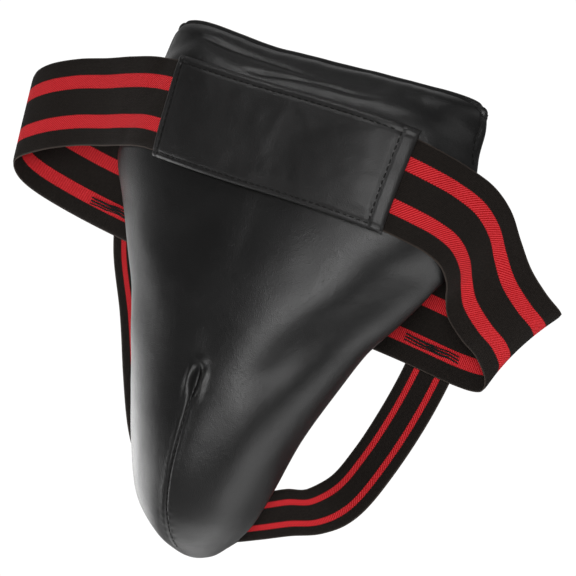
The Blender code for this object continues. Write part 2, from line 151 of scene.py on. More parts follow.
LEG_LEFT = [
    (-112, 32.3, -37, -0.99, 0.02, 0.05),
    (-110, 33.8, -53, -0.99, 0.02, 0.03),
    (-103, 36.6, -85, -0.98, 0.00, -0.05),
    (-89, 40, -118, -0.97, 0.00, -0.15),
    (-77, 42, -150, -0.94, 0.00, -0.28),
    (-64, 39, -177, -0.80, 0.05, -0.58),
    (-49, 30, -195, -0.45, 0.25, -0.85),
    (-33, 18, -206, -0.15, 0.25, -0.95),
    (-17, 12.6, -211, 0.00, 0.24, -0.97),
    (-4.5, 12.4, -214, 0.00, 0.24, -0.97),
]

# The camera looks level at the guard from the front and a little to its right, rolled.
AZIMUTH, ROLL, DISTANCE = radians(22), radians(16.5), 1.2
LENS = 133.5
AIM = Vector((0.0109, 0.0044, -0.0774))


# --- mesh helpers ------------------------------------------------------------------
def spline(rows, count, tail=0):
    """Catmull-Rom spline through rows; the last `tail` rows only shape its end."""
    points = np.array(rows, float)
    spans = len(points) - 1 - tail
    along = np.linspace(0, spans, count)
    i = np.minimum(along.astype(int), spans - 1)
    f = (along - i)[:, None]
    padded = np.vstack([2 * points[0] - points[1], points, 2 * points[-1] - points[-2]])
    a, b, c, d = (padded[i + k] for k in range(4))
    return 0.5 * (2 * b + (c - a) * f + (2 * a - 5 * b + 4 * c - d) * f ** 2
                  + (3 * b - a - 3 * c + d) * f ** 3)


def unit(vectors):
    return vectors / np.maximum(np.linalg.norm(vectors, axis=-1, keepdims=True), 1e-12)


def bump(values, centre, width):
    return np.exp(-((values - centre) / width) ** 2)


def ramp(values, low, high):
    t = np.clip((values - low) / (high - low), 0, 1)
    return t * t * (3 - 2 * t)


def noise_at(points, scale, seed=0.0):
    """Smooth noise in about -1 to 1 at each point of an array (..., 3) in mm."""
    flat = points.reshape(-1, 3) / scale + seed
    values = [noise.noise(Vector(p)) for p in flat]
    return np.array(values).reshape(points.shape[:-1])


def blur(values, times, axis):
    """Smooth an array along one axis, keeping its ends."""
    moved = np.moveaxis(values, axis, 0).copy()
    for _ in range(times):
        moved[1:-1] = 0.25 * moved[:-2] + 0.5 * moved[1:-1] + 0.25 * moved[2:]
    return np.moveaxis(moved, 0, axis)


def grid_normals(grid):
    """Unit normals of a grid of points; rows run down and columns to the right."""
    down = np.gradient(grid, axis=0)
    right = np.gradient(grid, axis=1)
    return unit(np.cross(down, right))


def mesh_object(name, verts, faces, mat, merge=0.0, uv=None):
    """Object from millimetre points, closed pieces turned to face outwards."""
    mesh = bpy.data.meshes.new(name)
    mesh.from_pydata((np.asarray(verts, float) * MM).tolist(), [], faces)
    if uv is not None:
        layer = mesh.uv_layers.new(name="strap")
        loops = np.zeros(len(mesh.loops), np.int32)
        mesh.loops.foreach_get("vertex_index", loops)
        layer.data.foreach_set("uv", np.asarray(uv, np.float32)[loops].ravel())
    bm = bmesh.new()
    bm.from_mesh(mesh)
    if merge:
        bmesh.ops.remove_doubles(bm, verts=bm.verts, dist=merge * MM)
        bmesh.ops.dissolve_degenerate(bm, edges=bm.edges, dist=merge * MM)
    bmesh.ops.recalc_face_normals(bm, faces=bm.faces)
    if bm.calc_volume(signed=True) < 0:
        bmesh.ops.reverse_faces(bm, faces=bm.faces)
    bm.to_mesh(mesh)
    bm.free()
    mesh.shade_smooth()
    mesh.materials.append(mat)
    obj = bpy.data.objects.new(name, mesh)
    bpy.context.scene.collection.objects.link(obj)
    return obj


def grid_faces(rows, cols, start=0, flip=False, wrap=False):
    faces = []
    for i in range(rows - 1):
        for j in range(cols if wrap else cols - 1):
            k = (j + 1) % cols
            face = (start + i * cols + j, start + i * cols + k,
                    start + (i + 1) * cols + k, start + (i + 1) * cols + j)
            faces.append(face[::-1] if flip else face)
    return faces


def slab(name, outer, inner, mat, merge=0.02, uv=None):
    """Closed solid between two grids of points with the same shape."""
    rows, cols = outer.shape[:2]
    back = rows * cols
    faces = grid_faces(rows, cols) + grid_faces(rows, cols, back, flip=True)
    rim = [i * cols for i in range(rows)]
    rim += [(rows - 1) * cols + j for j in range(1, cols)]
    rim += [i * cols + cols - 1 for i in range(rows - 2, -1, -1)]
    rim += [j for j in range(cols - 2, 0, -1)]
    for a, b in zip(rim, rim[1:] + rim[:1]):
        faces.append((a, b, back + b, back + a))
    verts = np.vstack([outer.reshape(-1, 3), inner.reshape(-1, 3)])
    return mesh_object(name, verts, faces, mat, merge, uv)


def soften(obj, width):
    """Round the cut edges of a piece of leather; the width is in millimetres."""
    bevel = obj.modifiers.new("round", "BEVEL")
    bevel.width = width * MM
    bevel.segments = 3
    bevel.limit_method = "ANGLE"
    bevel.angle_limit = radians(50)


def tree_of(grid):
    """Search tree of a grid's surface, in mm."""
    rows, cols = grid.shape[:2]
    verts = [Vector(p) for p in grid.reshape(-1, 3)]
    return BVHTree.FromPolygons(verts, grid_faces(rows, cols))


# --- the guard's surface --------------------------------------------------------------
def roll_radius(along):
    """Radius of the turned edge: thin beside the belly panel, padded round the cup."""
    return EDGE_ROLL + (CUP_ROLL - EDGE_ROLL) * ramp(along, 0.20, 0.34)


def guard_rows(inset, count):
    """Sections moved inwards by `inset`, the rim's inward direction and the roll radius."""
    rows = spline(SECTIONS, count, tail=1)
    along_rim = unit(np.gradient(rows[:, [0, 2]], axis=0))
    along_rim[-1] = (-1.0, 0.0)
    along_ridge = unit(np.gradient(rows[:, 3:5], axis=0))
    rim_in = np.stack([along_rim[:, 1], -along_rim[:, 0]], 1)
    ridge_in = np.stack([-along_ridge[:, 1], along_ridge[:, 0]], 1)
    ridge_in[-1] = (0.0, 1.0)
    rows[:, [0, 2]] += rim_in * inset
    rows[:, 3:5] += ridge_in * inset
    rows[-1, 0] = 0.0
    rows[-1, 3] = rows[-1, 1]
    return rows, rim_in, roll_radius(np.linspace(0, 1, count))


def section_line(row, shares):
    """Points of one section at shares of its length from the ridge (0) to a rim (-1, 1)."""
    rim_x, rim_y, rim_z, ridge_y, ridge_z, wide, deep = row
    angle = pi / 2 * np.linspace(0, 1, 300) ** (wide / 2)
    side = np.sin(angle) ** (2 / wide)
    depth = np.maximum(np.cos(angle), 0) ** (2 / deep)
    line = np.stack([rim_x * side, rim_y + (ridge_y - rim_y) * depth,
                     rim_z + (ridge_z - rim_z) * depth], 1)
    length = np.concatenate([[0], np.cumsum(np.linalg.norm(np.diff(line, axis=0), axis=1))])
    if length[-1] < 1e-6:
        return np.repeat(line[:1], len(shares), axis=0)
    place = np.abs(shares) * length[-1]
    points = np.stack([np.interp(place, length, line[:, k]) for k in range(3)], 1)
    points[:, 0] *= np.where(shares < 0, -1, 1)
    return points


def guard_surface(inset, count, shares):
    """Grid over the front of the guard, from rim to rim."""
    rows, inward, rolls = guard_rows(inset, count)
    grid = np.array([section_line(row, shares) for row in rows])
    return grid, rows, inward, rolls


def turned_edge(rows, inward, rolls, inset, sweep, side, tail=0.0):
    """Grid where the skin turns round the rim; sweep is in degrees past the rim."""
    turn = np.radians(sweep)
    reach = (rolls[:, None] - inset) * (1 - np.cos(turn))
    depth = (rolls[:, None] - inset) * np.sin(turn)
    grid = np.stack([side * (rows[:, 0:1] + inward[:, 0:1] * reach),
                     rows[:, 1:2] + depth, rows[:, 2:3] + inward[:, 1:2] * reach], 2)
    if tail:
        steps = np.linspace(0, tail, 5)[1:]
        last = grid[:, -1:]
        extra = np.repeat(last, len(steps), axis=1)
        extra[:, :, 1] -= steps
        grid = np.concatenate([grid, extra], axis=1)
    return grid


# --- materials --------------------------------------------------------------------
class Shader:
    """Small wrapper that adds and links nodes of one material."""

    def __init__(self, name):
        self.mat = bpy.data.materials.new(name)
        self.mat.use_nodes = True
        self.nodes = self.mat.node_tree.nodes
        self.links = self.mat.node_tree.links
        self.bsdf = self.nodes["Principled BSDF"]

    def add(self, kind, inputs=None, **settings):
        node = self.nodes.new(kind)
        for key, value in settings.items():
            setattr(node, key, value)
        for key, value in (inputs or {}).items():
            if isinstance(value, bpy.types.NodeSocket):
                self.links.new(value, node.inputs[key])
            else:
                node.inputs[key].default_value = value
        return node

    def set(self, **inputs):
        for key, value in inputs.items():
            socket = self.bsdf.inputs[key.replace("_", " ")]
            if isinstance(value, bpy.types.NodeSocket):
                self.links.new(value, socket)
            else:
                socket.default_value = value

    def math(self, operation, a, b=None, c=None, clamp=False):
        pairs = {k: v for k, v in enumerate((a, b, c)) if v is not None}
        return self.add("ShaderNodeMath", pairs, operation=operation,
                        use_clamp=clamp).outputs[0]

    def colours(self, factor, stops):
        node = self.add("ShaderNodeValToRGB", {"Fac": factor})
        elements = node.color_ramp.elements
        while len(elements) < len(stops):
            elements.new(1.0)
        for element, (place, colour) in zip(elements, stops):
            element.position = place
            element.color = (*colour, 1)
        return node.outputs["Color"]

    def numbers(self, factor, low, high):
        return self.add("ShaderNodeMapRange", {"Value": factor, "To Min": low, "To Max": high}
                        ).outputs["Result"]

    def bump(self, height, distance, strength=1.0, normal=None):
        inputs = {"Height": height, "Distance": distance, "Strength": strength}
        if normal is not None:
            inputs["Normal"] = normal
        return self.add("ShaderNodeBump", inputs).outputs["Normal"]


def leather(name, colour, rough, grain=1.0):
    """Satin synthetic leather: fine pebbled grain, faint large creases and dull patches."""
    s = Shader(name)
    place = s.add("ShaderNodeTexCoord").outputs["Object"]
    pebbles = s.add("ShaderNodeTexVoronoi", {"Vector": place, "Scale": 1100.0 / grain,
                                             "Randomness": 1.0}, feature="DISTANCE_TO_EDGE")
    fine = s.add("ShaderNodeTexNoise", {"Vector": place, "Scale": 2600.0 / grain,
                                        "Detail": 3.0, "Roughness": 0.6})
    broad = s.add("ShaderNodeTexNoise", {"Vector": place, "Scale": 38.0, "Detail": 4.0,
                                         "Roughness": 0.55})
    creases = s.add("ShaderNodeTexNoise", {"Vector": place, "Scale": 210.0, "Detail": 4.0,
                                           "Roughness": 0.6, "Distortion": 0.6})
    height = s.math("MULTIPLY_ADD", pebbles.outputs["Distance"], 1.4, fine.outputs["Fac"])
    first = s.bump(creases.outputs["Fac"], 0.0004, 0.35)
    s.set(Normal=s.bump(height, 0.00011, 0.75, first))
    dark = tuple(0.8 * c for c in colour)
    light = tuple(1.25 * c for c in colour)
    s.set(Base_Color=s.colours(broad.outputs["Fac"], [(0.3, dark), (0.7, light)]))
    s.set(Roughness=s.numbers(broad.outputs["Fac"], rough - 0.06, rough + 0.07))
    s.bsdf.inputs["Specular IOR Level"].default_value = 0.5
    return s.mat


def thread_material():
    s = Shader("black_thread")
    place = s.add("ShaderNodeTexCoord").outputs["Object"]
    wave = s.add("ShaderNodeTexNoise", {"Vector": place, "Scale": 2200.0, "Detail": 2.0})
    s.set(Base_Color=s.colours(wave.outputs["Fac"], [(0.3, (0.004, 0.004, 0.004)),
                                                     (0.7, (0.014, 0.013, 0.012))]))
    s.set(Normal=s.bump(wave.outputs["Fac"], 0.0001, 0.6))
    s.bsdf.inputs["Roughness"].default_value = 0.7
    s.bsdf.inputs["Specular IOR Level"].default_value = 0.25
    return s.mat


def elastic(name, width, stripes, half_stripe, black, red):
    """Woven elastic: fine ribs along it, twill on the red stripes with toothed borders.

    The UV map holds the place across (mm from the middle) and along (mm), both times 0.01.
    """
    s = Shader(name)
    uv = s.add("ShaderNodeUVMap", uv_map="strap").outputs["UV"]
    split = s.add("ShaderNodeSeparateXYZ", {"Vector": uv})
    across = s.math("MULTIPLY", split.outputs["X"], 100.0)
    along = s.math("MULTIPLY", split.outputs["Y"], 100.0)
    # Distance from the nearer stripe's middle, with one tooth to each twill line.
    tooth = s.math("PINGPONG", along, TWILL / 2)
    off = s.math("ABSOLUTE", s.math("SUBTRACT", s.math("ABSOLUTE", across), stripes))
    edge = s.math("SUBTRACT", half_stripe, s.math("MULTIPLY_ADD", tooth, 0.55, off))
    inside = s.math("MULTIPLY_ADD", edge, 4.0, 0.5, clamp=True)
    # Diagonal twill on the stripes: raised lines one pitch apart.
    slant = s.math("MULTIPLY_ADD", across, -0.95, along)
    twill = s.math("PINGPONG", slant, TWILL / 2)
    line = s.math("MULTIPLY", twill, 2 / TWILL)
    rib = s.math("MULTIPLY", s.math("PINGPONG", across, RIB), 1 / RIB)
    weft = s.math("MULTIPLY", s.math("PINGPONG", along, WEFT), 1 / WEFT)
    fuzz = s.add("ShaderNodeTexNoise", {"Vector": s.add("ShaderNodeTexCoord").outputs["Object"],
                                        "Scale": 900.0, "Detail": 3.0})
    deep = (0.5 * red[0], 0.3 * red[1], 0.3 * red[2])
    pale = (1.3 * red[0], 6.5 * red[1], 6.0 * red[2])
    reds = s.colours(s.math("MULTIPLY_ADD", fuzz.outputs["Fac"], 0.25, line),
                     [(0.15, deep), (0.5, red), (0.95, pale)])
    blacks = s.colours(s.math("MULTIPLY_ADD", fuzz.outputs["Fac"], 0.6,
                              s.math("MULTIPLY", s.math("MULTIPLY", rib, weft), 0.5)),
                       [(0.2, tuple(0.5 * c for c in black)), (0.9, tuple(1.5 * c for c in black))])
    mixed = s.add("ShaderNodeMix", {"Factor": inside}, data_type="RGBA")
    s.links.new(blacks, mixed.inputs[6])
    s.links.new(reds, mixed.inputs[7])
    border = s.add("ShaderNodeMapRange", {"Value": s.math("ABSOLUTE", across),
                                          "From Min": width / 2 - 0.9,
                                          "From Max": width / 2 - 0.3}).outputs["Result"]
    edged = s.add("ShaderNodeMix", {"Factor": border}, data_type="RGBA")
    s.links.new(mixed.outputs[2], edged.inputs[6])
    edged.inputs[7].default_value = (*(3.2 * c for c in black), 1)
    s.set(Base_Color=edged.outputs[2])
    raised = s.math("MULTIPLY", inside, 0.35)
    height = s.math("ADD", s.math("MULTIPLY_ADD", rib, 0.35, raised),
                    s.math("MULTIPLY_ADD", line, 0.45, s.math("MULTIPLY", weft, 0.3)))
    s.set(Normal=s.bump(height, 0.00022, 0.8))
    s.bsdf.inputs["Roughness"].default_value = 0.85
    s.bsdf.inputs["Specular IOR Level"].default_value = 0.12
    s.bsdf.inputs["Sheen Weight"].default_value = 0.015
    s.bsdf.inputs["Sheen Roughness"].default_value = 0.5
    return s.mat


def cloth_material(name, dark, light):
    """Matt knitted lining cloth."""
    s = Shader(name)
    place = s.add("ShaderNodeTexCoord").outputs["Object"]
    split = s.add("ShaderNodeSeparateXYZ", {"Vector": place})
    a = s.math("PINGPONG", s.math("MULTIPLY", split.outputs["X"], 1000.0), 0.55)
    b = s.math("PINGPONG", s.math("MULTIPLY_ADD", split.outputs["Y"], 700.0,
                                  s.math("MULTIPLY", split.outputs["Z"], 1000.0)), 0.4)
    weave = s.math("MULTIPLY", a, b)
    fuzz = s.add("ShaderNodeTexNoise", {"Vector": place, "Scale": 420.0, "Detail": 5.0})
    mixed = s.math("MULTIPLY_ADD", weave, 2.2, s.math("MULTIPLY", fuzz.outputs["Fac"], 0.5))
    s.set(Base_Color=s.colours(mixed, [(0.15, dark), (0.75, light)]))
    s.set(Normal=s.bump(mixed, 0.0003, 0.7))
    s.bsdf.inputs["Roughness"].default_value = 0.95
    s.bsdf.inputs["Sheen Weight"].default_value = 0.25
    return s.mat


def foam_material(name, colour):
    s = Shader(name)
    place = s.add("ShaderNodeTexCoord").outputs["Object"]
    cells = s.add("ShaderNodeTexVoronoi", {"Vector": place, "Scale": 900.0})
    s.set(Base_Color=s.colours(cells.outputs["Distance"],
                               [(0.0, tuple(0.7 * c for c in colour)), (0.8, colour)]))
    s.set(Normal=s.bump(cells.outputs["Distance"], 0.0004, 0.6))
    s.bsdf.inputs["Roughness"].default_value = 0.95
    return s.mat


def plastic_material(name, colour):
    s = Shader(name)
    place = s.add("ShaderNodeTexCoord").outputs["Object"]
    grain = s.add("ShaderNodeTexNoise", {"Vector": place, "Scale": 800.0, "Detail": 3.0})
    s.set(Base_Color=s.colours(grain.outputs["Fac"], [(0.2, tuple(0.85 * c for c in colour)),
                                                      (0.8, colour)]))
    s.set(Normal=s.bump(grain.outputs["Fac"], 0.0001, 0.3))
    s.bsdf.inputs["Roughness"].default_value = 0.42
    return s.mat


# --- soft relaxing -------------------------------------------------------------------
def relax(grid, pinned, pressure, shrink, cap):
    """Cloth-simulate a grid of points held where `pinned` is 1; returns how far it moved."""
    rows, cols = grid.shape[:2]
    mesh = bpy.data.meshes.new("soft")
    mesh.from_pydata((grid.reshape(-1, 3) * MM).tolist(), [], grid_faces(rows, cols))
    obj = bpy.data.objects.new("soft", mesh)
    bpy.context.scene.collection.objects.link(obj)
    group = obj.vertex_groups.new(name="pin")
    flat = pinned.reshape(-1)
    for k in np.nonzero(flat > 0)[0]:
        group.add([int(k)], float(flat[k]), "REPLACE")
    cloth = obj.modifiers.new("cloth", "CLOTH")
    kit = cloth.settings
    kit.quality = 6
    kit.mass = 0.3
    kit.tension_stiffness = 25
    kit.compression_stiffness = 25
    kit.shear_stiffness = 8
    kit.bending_stiffness = 2.0
    kit.air_damping = 3
    kit.use_pressure = True
    kit.uniform_pressure_force = pressure
    kit.shrink_min = shrink
    kit.vertex_group_mass = "pin"
    kit.effector_weights.gravity = 0.0
    cloth.point_cache.frame_start = 1
    cloth.point_cache.frame_end = RELAX_FRAMES
    scene = bpy.context.scene
    for step in range(1, RELAX_FRAMES + 1):
        scene.frame_set(step)
    shown = obj.evaluated_get(bpy.context.evaluated_depsgraph_get())
    found = np.zeros(rows * cols * 3, np.float32)
    shown.data.vertices.foreach_get("co", found)
    scene.frame_set(1)
    bpy.data.objects.remove(obj)
    bpy.data.meshes.remove(mesh)
    moved = found.reshape(rows, cols, 3).astype(float) / MM - grid
    size = np.linalg.norm(moved, axis=2, keepdims=True)
    return moved * (cap * np.tanh(size / cap) / np.maximum(size, 1e-9))


def resample(field, rows, cols):
    """Stretch a grid of values to another number of rows and columns."""
    r = np.linspace(0, field.shape[0] - 1, rows)
    c = np.linspace(0, field.shape[1] - 1, cols)
    r0 = np.minimum(r.astype(int), field.shape[0] - 2)
    c0 = np.minimum(c.astype(int), field.shape[1] - 2)
    fr = (r - r0)[:, None, None]
    fc = (c - c0)[None, :, None]
    a = field[r0][:, c0] * (1 - fc) + field[r0][:, c0 + 1] * fc
    b = field[r0 + 1][:, c0] * (1 - fc) + field[r0 + 1][:, c0 + 1] * fc
    return a * (1 - fr) + b * fr


# --- leather cover ---------------------------------------------------------------------
COVER_ROWS, COVER_HALF = 261, 96
DART_TOP, DART_FOOT = -129.0, -233.0


def cover_shares():
    """Places of the cover's columns, closer together beside the dart."""
    spread = np.linspace(-1, 1, 2 * COVER_HALF + 1)
    return np.sign(spread) * np.abs(spread) ** 1.25


def cover_front():
    """The cover's front, with its hem, its dart and the soft shape of the foam under it."""
    shares = cover_shares()
    grid, rows, inward, rolls = guard_surface(0.0, COVER_ROWS, shares)
    normals = grid_normals(grid)
    normals[-1] = (0, -0.3, -0.95)
    down = np.concatenate([np.zeros((1, grid.shape[1])),
                           np.cumsum(np.linalg.norm(np.diff(grid, axis=0), axis=2), axis=0)])
    across = np.linalg.norm(np.diff(grid, axis=1), axis=2)
    width = across.sum(axis=1, keepdims=True)
    side = np.abs(shares)[None, :] * width / 2
    from_rim = width / 2 - side
    x, z = grid[:, :, 0], grid[:, :, 2]
    lift = dart_lift(x, z) + hem_lift(down, from_rim, x, z) + form_lift(shares, x, z)
    lift += 0.35 * noise_at(grid, 34.0) + 0.12 * noise_at(grid, 12.0, 3.1)
    fade = ramp(np.linspace(0, 1, COVER_ROWS), 1.0, 0.975)[:, None]
    grid = grid + normals * (lift * fade)[:, :, None]
    return grid, rows, inward, rolls, down, from_rim


def form_lift(shares, x, z):
    """Valley between the cup's dome and its padded rim; it runs up and out from the dart."""
    part = np.abs(shares)[None, :] + 0 * z
    valley = np.interp(-z, [45, 70, 102, 130], [0.86, 0.75, 0.55, 0.40])
    swell = np.interp(-z, [55, 102, 161, 200], [1.00, 0.88, 0.68, 0.58])
    sunk = -2.2 * bump(part, valley, 0.16) * ramp(z, -30, -55) * ramp(z, -150, -118)
    raised = 0.7 * bump(part, swell, 0.13) * ramp(z, -35, -60) * ramp(z, -150, -95)
    return (sunk + raised) * (0.25 + 0.75 * ramp(x, -10, 10))


def dart_lift(x, z):
    """Tight stitched seam up the ridge, ending in an open teardrop pucker."""
    on = ramp(z, DART_FOOT - 4, DART_FOOT + 6) * ramp(z, DART_TOP + 1, DART_TOP - 5)
    mouth = bump(z, DART_TOP - 10, 8.0)
    groove = (1.1 + 1.7 * mouth) * bump(x, 0, 0.75 + 1.5 * mouth)
    lips = 0.15 * bump(np.abs(x), 2.4, 1.5) * (1 - mouth)
    lips = lips + 1.3 * mouth * bump(np.abs(x), 4.4, 1.9)
    hood = 1.2 * np.exp(-((z - (DART_TOP + 1)) / 2.6) ** 2 - (x / 3.8) ** 2)
    pulls = 0.14 * np.sin(z * 2 * pi / 4.0) * bump(np.abs(x), 2.2, 1.4)
    pinch = 1.1 * np.exp(-np.abs(x) / 11) * ramp(z, -142, -172) * ramp(z, -238, -222)
    return on * (lips - groove + pulls) + hood + pinch


def hem_lift(down, from_rim, x, z):
    """Rolled hem along the top and sides of the strip, and the strip's long creases."""
    strip = ramp(z, 18, 24)
    top = bump(down, 2.0, 2.0) * 0.6 - 1.2 * bump(down, 5.2, 1.0)
    edge = ramp(z, 22, 27) * (0.4 * bump(from_rim, 2.0, 2.0) - 0.8 * bump(from_rim, 5.4, 1.1))
    puff = 1.3 * bump(down, 14, 6.0) * ramp(np.abs(x), 92, 60)
    crease = -1.0 * bump(z - 38 + 0.05 * x + 1.2 * np.sin(x / 17), 0, 1.5)
    crease *= ramp(x, -82, -60) * ramp(x, 20, -12)
    second = -0.8 * bump(z - 33.5 - 0.03 * x - 0.8 * np.sin(x / 11 + 1), 0, 1.3)
    second *= ramp(x, -40, -20) * ramp(x, 55, 25)
    return strip * (top + edge + puff + crease + second)


def lean(points):
    """Pull the strip's upper corners out, the one on the left further up."""
    out = points.copy()
    x, z = points[..., 0], points[..., 2]
    out[..., 2] += 5.5 * ramp(z, 14, 44) * ramp(-x, 25, 90)
    out[..., 0] += 2.5 * ramp(z, 18, 42) * ramp(x, 55, 92)
    return out


def make_cover():
    """One skin: hem behind the top edge, front, and the edges turned round the rim."""
    grid, rows, inward, rolls, down, from_rim = cover_front()
    coarse = grid[::3, ::2]
    pins = np.zeros(coarse.shape[:2])
    pins[:2] = pins[-6:] = 1
    pins[:, :2] = pins[:, -2:] = 1
    centre = coarse.shape[1] // 2
    dart = coarse[:, centre, 2] < DART_TOP - 4
    for j in range(centre - 3, centre + 4):
        pins[dart, j] = 1
    under = (np.abs(coarse[:, :, 0]) < 80) & (np.abs(coarse[:, :, 2]) < 24)
    pins[under] = 0.6
    moved = relax(coarse[:-3], pins[:-3], 3.0, -0.012, 1.6)
    moved = np.concatenate([moved, np.zeros((3, *moved.shape[1:]))])
    # Taut over the cup, where only the broad swell is kept; slack and creased on the strip.
    taut = 0.55 * blur(blur(moved, 22, 0), 22, 1)
    slack = 0.6 * blur(blur(moved, 1, 0), 1, 1)
    moved = taut + (slack - taut) * ramp(coarse[:, :, 2:3], 22, 32)
    grid = grid + resample(moved, *grid.shape[:2])
    sweep = np.linspace(0, 180, 17)[1:]
    parts = []
    for side in (-1, 1):
        edge = turned_edge(rows, inward, rolls, 0.0, sweep, side, tail=4.0)
        parts.append(edge[:, ::-1] if side < 0 else edge)
    skin = np.concatenate([parts[0], grid, parts[1]], axis=1)
    skin[-1, :, 0] = 0
    # The top edge is turned over to the back and down behind the belly panel.
    start = skin[3]
    peak = skin[0] + np.array((0, 0.8, 1.4))
    back = skin[0] * np.array((0.985, 0, 1)) + np.array((0, -0.9, -3.4))
    steps = np.linspace(1, 0, 11)[:-1, None, None]
    fold = (1 - steps) ** 2 * start + 2 * steps * (1 - steps) * peak + steps ** 2 * back
    return lean(np.concatenate([fold, skin[4:]], axis=0)), lean(grid), down, from_rim


# --- straps ----------------------------------------------------------------------------
def strap_frames(rows, count):
    """Centres, directions across and normals along a strap."""
    samples = spline(rows, count)
    centre = samples[:, :3]
    along = unit(np.gradient(centre, axis=0))
    across = unit(samples[:, 3:6])
    return centre, across, unit(np.cross(along, across))


def strap(name, rows, count, width, thick, mat, columns, tree=None, wave=0.3):
    """Woven strap with rounded selvedges, and its length; with a tree it lies over that."""
    centre, across, normal = strap_frames(rows, count)
    place = np.linspace(-0.5, 0.5, columns)
    middle = centre[:, None] + across[:, None] * (width * place)[None, :, None]
    normals = np.repeat(normal[:, None], columns, axis=1)
    if tree is not None:
        middle = drape(middle, tree, thick)
        normals = grid_normals(middle)
        flip = np.sign((normals * normal[:, None]).sum(axis=2, keepdims=True))
        normals = normals * np.where(flip == 0, 1, flip)
    middle = middle + normals * (wave * noise_at(middle, 26.0, 7.7))[:, :, None]
    # A lens-like section: full thickness but for the last threads of each selvedge.
    half = thick / 2 * np.sqrt(np.clip(1 - (2 * np.abs(place)) ** 18, 0.05, 1))
    front = middle + normals * half[None, :, None]
    back = middle - normals * half[None, :, None]
    along = np.concatenate([[0], np.cumsum(np.linalg.norm(np.diff(centre, axis=0), axis=1))])
    uv = np.stack(np.broadcast_arrays((width * place)[None, :], along[:, None]), 2) * 0.01
    uv = np.vstack([uv.reshape(-1, 2), uv.reshape(-1, 2)])
    obj = slab(name, front, back, mat, merge=0.0, uv=uv)
    return obj, along[-1]


def surface_y(tree, x, z):
    hit = tree.ray_cast(Vector((x, -200, z)), Vector((0, 1, 0)))[0]
    return None if hit is None else hit.y


def front_of(tree, x, z, reach=5.0):
    """Foremost Y of a surface near a point, or None beside it."""
    found = [surface_y(tree, x, z + step) for step in (-reach, 0, reach)]
    found = [y for y in found if y is not None]
    return min(found) if found else None


def drape(middle, tree, thick):
    """Keep a strap's points in front of a surface, with a smooth run on and off it."""
    push = np.zeros(middle.shape[:2])
    for i in range(middle.shape[0]):
        if abs(middle[i, :, 0]).min() > BEHIND_GUARD:
            continue
        for j in range(middle.shape[1]):
            x, y, z = middle[i, j]
            front = front_of(tree, x, z)
            if front is not None and y < 0:
                push[i, j] = max(0.0, y - (front - thick / 2 - 0.9))
    smooth = blur(blur(push, 8, 0), 2, 1)
    smooth = np.maximum(smooth, push)
    out = middle.copy()
    out[:, :, 1] -= blur(smooth, 3, 0)
    return out


# --- stitches --------------------------------------------------------------------------
def resampled(points, step):
    points = np.asarray(points, float)
    length = np.concatenate([[0], np.cumsum(np.linalg.norm(np.diff(points, axis=0), axis=1))])
    at = np.arange(0, length[-1], step)
    return np.stack([np.interp(at, length, points[:, k]) for k in range(3)], 1)


def stitches(name, paths, outwards, pitch, radius, dip):
    """Short bowed runs of thread whose ends dive into the leather, as one mesh.

    outwards(point) gives the surface's outward direction there.
    """
    verts, faces = [], []
    rings, sides = 7, 8
    for path in paths:
        fine = resampled(path, 0.5)
        per = max(2, int(round(pitch / 0.5)))
        for first in range(0, len(fine) - per, per):
            last = first + max(1, int(round(per * STITCH_SHARE)))
            a, b = fine[first], fine[last]
            out = unit(np.asarray(outwards((a + b) / 2), float))
            axis = unit(b - a)
            cross = unit(np.cross(axis, out))
            base = len(verts)
            for k in range(rings):
                t = k / (rings - 1)
                bow = 1 - (2 * t - 1) ** 4
                middle = a + (b - a) * t + out * (dip * bow - dip * 0.75)
                r = radius * (0.55 + 0.45 * bow)
                for m in range(sides):
                    turn = 2 * pi * m / sides
                    verts.append(middle + cross * r * cos(turn) + out * r * sin(turn))
            faces += grid_faces(rings, sides, base, wrap=True)
            faces.append(tuple(range(base, base + sides))[::-1])
            end = base + (rings - 1) * sides
            faces.append(tuple(range(end, end + sides)))
    return mesh_object(name, verts, faces, THREAD)


def tube(name, points, radius, sides):
    """Round thread through points."""
    points = np.asarray(points, float)
    along = unit(np.gradient(points, axis=0))
    guide = np.array((0.0, 1.0, 0.13))
    cross = unit(np.cross(along, guide))
    other = np.cross(along, cross)
    verts = []
    for p, c, o in zip(points, cross, other):
        for m in range(sides):
            turn = 2 * pi * m / sides
            verts.append(p + c * radius * cos(turn) + o * radius * sin(turn))
    faces = grid_faces(len(points), sides, 0, wrap=True)
    faces.append(tuple(range(sides))[::-1])
    faces.append(tuple(range(len(verts) - sides, len(verts))))
    return mesh_object(name, verts, faces, THREAD)


def bar_tack(name, centre, along, up, outwards, length, height, turns):
    """Dense zigzag of thread that sews one strap to another."""
    centre, along, up, outwards = (np.array(v, float) for v in (centre, along, up, outwards))
    along, up, outwards = unit(along), unit(up), unit(outwards)
    points = []
    for k in range(turns + 1):
        sign = 1 if k % 2 else -1
        corner = centre + along * length * (k / turns - 0.5) + up * sign * height / 2
        points.append(corner)
    fine = resampled(points, 0.7)
    stray = 0.25 * noise_at(fine, 2.0, 5.0)[:, None] * outwards
    stray = stray + 0.5 * noise_at(fine, 7.0, 2.0)[:, None] * along
    return tube(name, fine + outwards * 0.35 + stray, 0.4, 6)


# --- patch ------------------------------------------------------------------------------
def patch_edge(height):
    share = (height + PATCH_HALF_HEIGHT) / (2 * PATCH_HALF_HEIGHT)
    return PATCH_HALF_FOOT + (PATCH_HALF_TOP - PATCH_HALF_FOOT) * share


def patch_plan(a, h):
    """X and Z over the patch; a from -1 to 1 across, h the height in mm."""
    droop = max(a, 0.0) ** 2
    x = a * patch_edge(h) + PATCH_REACH * droop
    return x, h - PATCH_BOW * (1 - a * a) - PATCH_LEAN * a - PATCH_DROOP * droop


